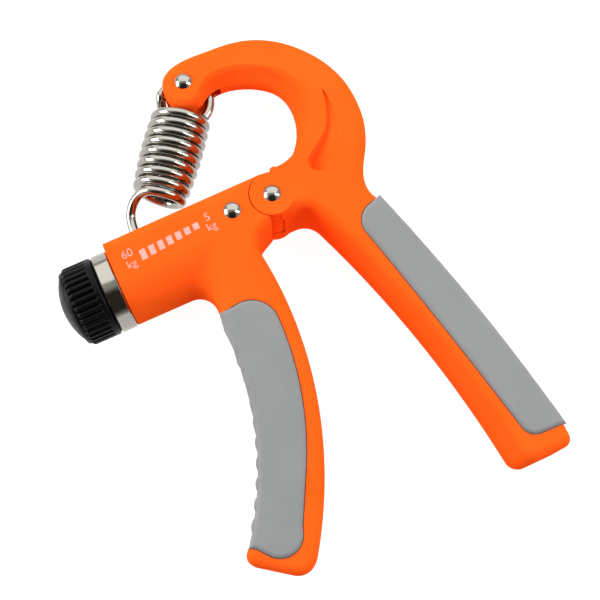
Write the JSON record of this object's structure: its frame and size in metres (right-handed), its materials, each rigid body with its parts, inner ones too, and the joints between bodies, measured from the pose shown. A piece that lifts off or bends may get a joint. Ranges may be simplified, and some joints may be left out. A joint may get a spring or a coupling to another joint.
{
  "type": "hand grip strengthener",
  "caption": "Spring hand grip strengthener: two hinged handles with rubber grips, a coil spring and a screw knob that slides the spring hook to set the load.",
  "frame": {"origin": "centre of the bounding box's bottom face, on the plane that the grips' back faces lie on", "axes": "+X from the load knob towards the hinge, +Y from the handle ends towards the spring arch, +Z out of the front face"},
  "size_m": [0.1176, 0.1584, 0.0257],
  "materials": {
    "orange_plastic": "satin moulded plastic, fine grain",
    "grey_rubber": "matt soft moulded rubber",
    "black_plastic": "satin",
    "polished_steel": "bright nickel plate",
    "plain_steel": "drawn or turned steel",
    "bearing_plastic": "natural nylon",
    "slider_plastic": "moulded nylon"
  },
  "bodies": {
    "knob_handle": {"knob_handle_frame": "orange_plastic", "knob_handle_grip": "grey_rubber", "end_plug": "slider_plastic", "end_ferrule": "polished_steel", "thrust_washer": "bearing_plastic", "screw_tail_bush": "bearing_plastic", "barrel_rivet": "polished_steel", "barrel_rivet_cap": "polished_steel", "hinge_bush": "bearing_plastic"},
    "arch_handle": {"arch_handle_frame": "orange_plastic", "arch_handle_grip": "grey_rubber", "hinge_rivet": "polished_steel", "hinge_rivet_cap": "polished_steel", "hinge_washer": "bearing_plastic", "spring_rivet": "polished_steel", "spring_rivet_cap": "polished_steel"},
    "load_screw": {"knob": "black_plastic", "knob_cap": "black_plastic", "knob_screw": "plain_steel", "adjusting_screw": "plain_steel", "retaining_clip": "plain_steel"},
    "load_slider": {"slider": "slider_plastic", "slider_nut": "plain_steel", "hook_pin": "plain_steel"},
    "spring_eye": {"spring_bush": "plain_steel"},
    "spring_top": {"spring_upper": "polished_steel"},
    "spring_coil": {"spring_middle": "polished_steel"},
    "spring_hook": {"spring_lower": "polished_steel"}
  },
  "joints": [
    {"name": "squeeze", "type": "hinge", "parent": "knob_handle", "child": "arch_handle", "pos_m": [0.0118, 0.02436, 0.0125], "axis": [0, 0, -1], "range_deg": [0, 32], "stiffness_Nm_per_rad": 21.8, "springref_deg": -5.16},
    {"name": "knob_turn", "type": "hinge", "parent": "knob_handle", "child": "load_screw", "pos_m": [-0.0482, 0.01961, 0.0125], "axis": [-1, 0, 0], "range_deg": [0, 3240]},
    {"name": "slider_travel", "type": "slide", "parent": "knob_handle", "child": "load_slider", "axis": [1, 0, 0], "range_m": [0, 0.01801]},
    {"name": "spring_swing", "type": "hinge", "parent": "arch_handle", "child": "spring_eye", "pos_m": [0.00265, 0.07136, 0.0125], "axis": [0, 0, 1], "range_deg": [0, 11.1]},
    {"name": "spring_sway", "type": "hinge", "parent": "spring_eye", "child": "spring_top", "pos_m": [0.00265, 0.07136, 0.0125], "axis": [0, 0, 1], "range_deg": [0, 15.32]},
    {"name": "spring_stretch", "type": "slide", "parent": "spring_top", "child": "spring_coil", "axis": [-0.5835, -0.8121, 0], "range_m": [0, 0.01457], "deforming": ["spring_upper", "spring_middle"]},
    {"name": "hook_shift", "type": "slide", "parent": "spring_coil", "child": "spring_hook", "axis": [0.5835, 0.8121, 0], "range_m": [0, 0.00931], "deforming": ["spring_lower"]}
  ],
  "couplings": [
    {"joint": "slider_travel", "follows": "knob_turn", "m_per_rad": 0.00031831},
    {"joint": "spring_swing", "follows": "squeeze", "ratio": 0.34672},
    {"joint": "spring_sway", "follows": "knob_turn", "ratio": 0.0047277},
    {"joint": "spring_stretch", "follows": "squeeze", "m_per_rad": 0.02608},
    {"joint": "hook_shift", "follows": "knob_turn", "m_per_rad": 0.00016446}
  ]
}
